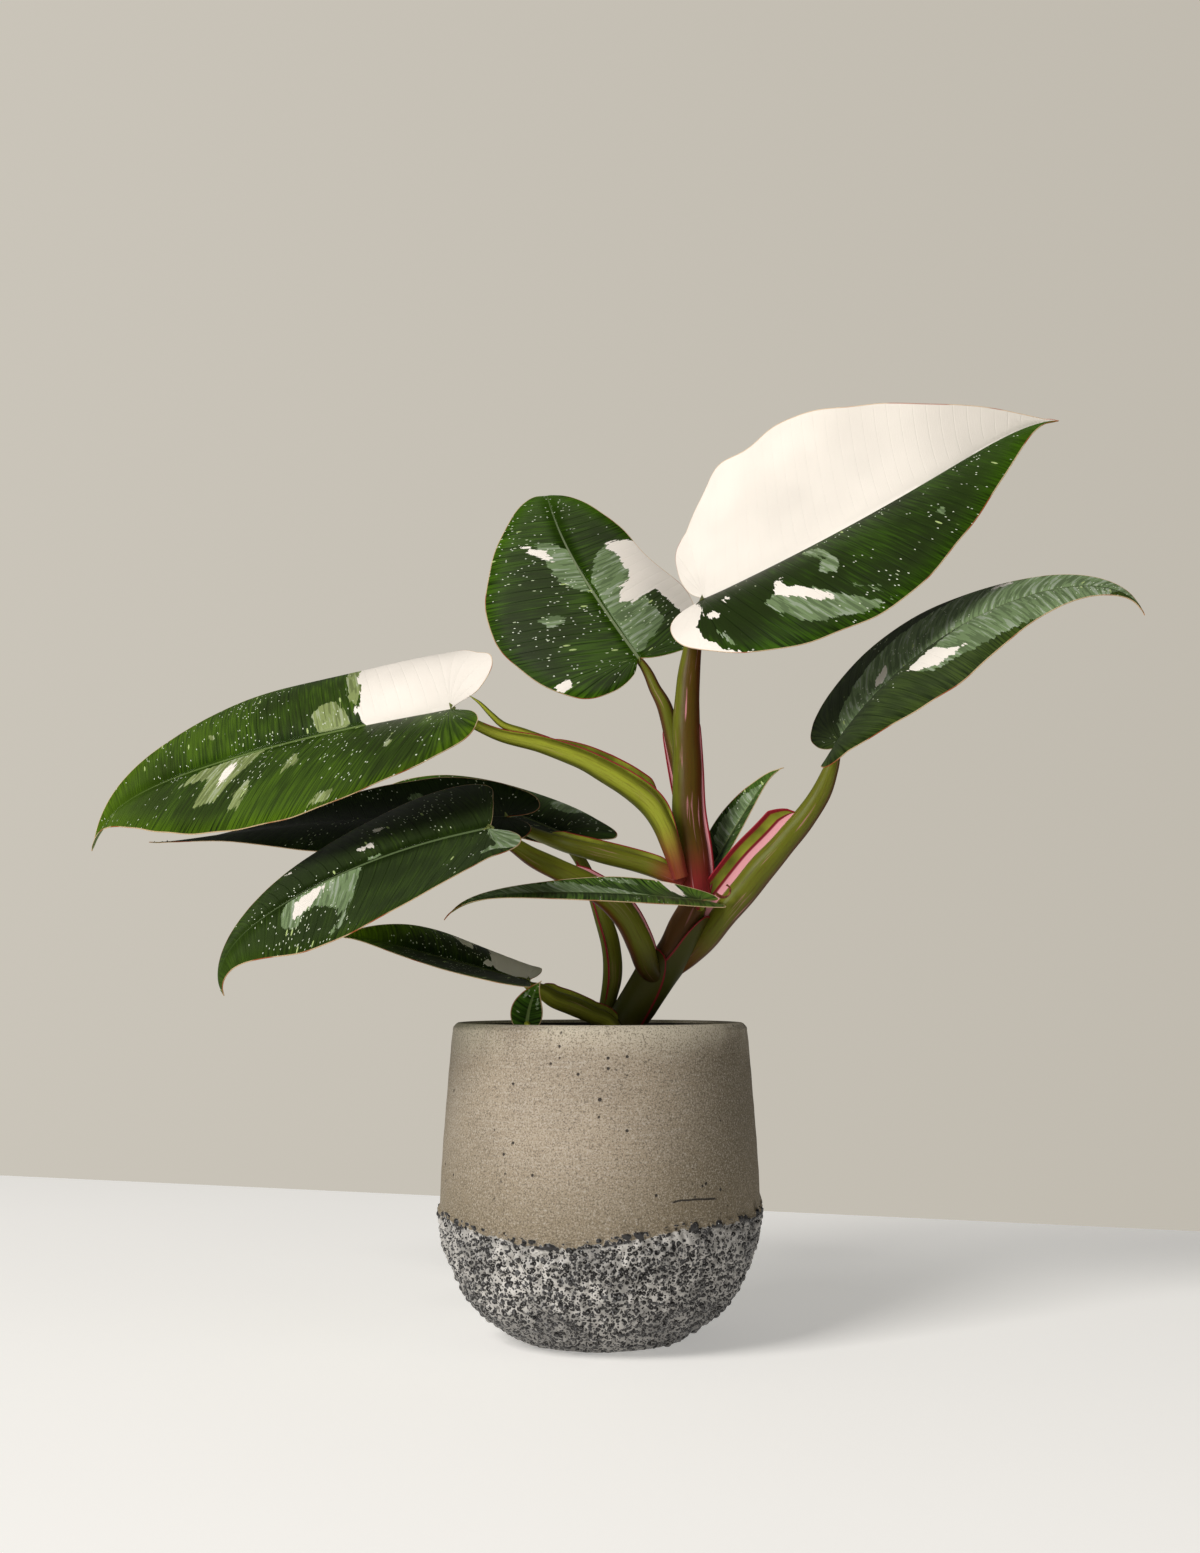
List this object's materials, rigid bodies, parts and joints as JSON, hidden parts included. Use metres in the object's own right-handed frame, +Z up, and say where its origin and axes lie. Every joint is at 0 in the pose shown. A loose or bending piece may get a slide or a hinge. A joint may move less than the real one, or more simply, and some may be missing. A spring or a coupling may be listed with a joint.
{
  "type": "potted philodendron",
  "caption": "Variegated philodendron with heart-shaped leaves on arching stalks, growing in a round-shouldered stoneware pot with a rough lower half.",
  "frame": {"origin": "centre of the pot's flat foot, on the surface it stands on", "axes": "+Z up; leaves spread along X, the tall pale leaf towards +X; the front faces -Y"},
  "size_m": [0.5143, 0.2248, 0.447],
  "materials": {
    "leaf_blade": "waxy dark green leaf with cream-white and grey-mint patches and fine pale flecks",
    "leaf_stalk": "smooth fleshy olive green with red-brown streaks and pink sheath edges",
    "stem": "smooth brown-green stem with leaf scars",
    "stoneware": "sandy taupe matt glaze with pinholes above, blistered grey-black lava glaze below",
    "potting_mix": "coarse dark bark and peat with white perlite",
    "dried_scale": "papery red-brown dried sheath"
  },
  "bodies": {
    "root": {"pot": "stoneware", "potting_mix": "potting_mix", "main_stem": "stem", "petiole_top": "leaf_stalk", "petiole_round": "leaf_stalk", "petiole_left": "leaf_stalk", "petiole_right": "leaf_stalk", "petiole_lower_left": "leaf_stalk", "petiole_dark": "leaf_stalk", "petiole_back": "leaf_stalk", "petiole_thin": "leaf_stalk", "petiole_low": "leaf_stalk", "petiole_small": "leaf_stalk", "petiole_tiny": "leaf_stalk", "leaf_top": "leaf_blade", "leaf_round": "leaf_blade", "leaf_left": "leaf_blade", "leaf_right": "leaf_blade", "leaf_lower_left": "leaf_blade", "leaf_dark": "leaf_blade", "leaf_back": "leaf_blade", "leaf_thin": "leaf_blade", "leaf_low": "leaf_blade", "leaf_small": "leaf_blade", "leaf_tiny": "leaf_blade", "dried_scale": "dried_scale"}
  },
  "joints": []
}
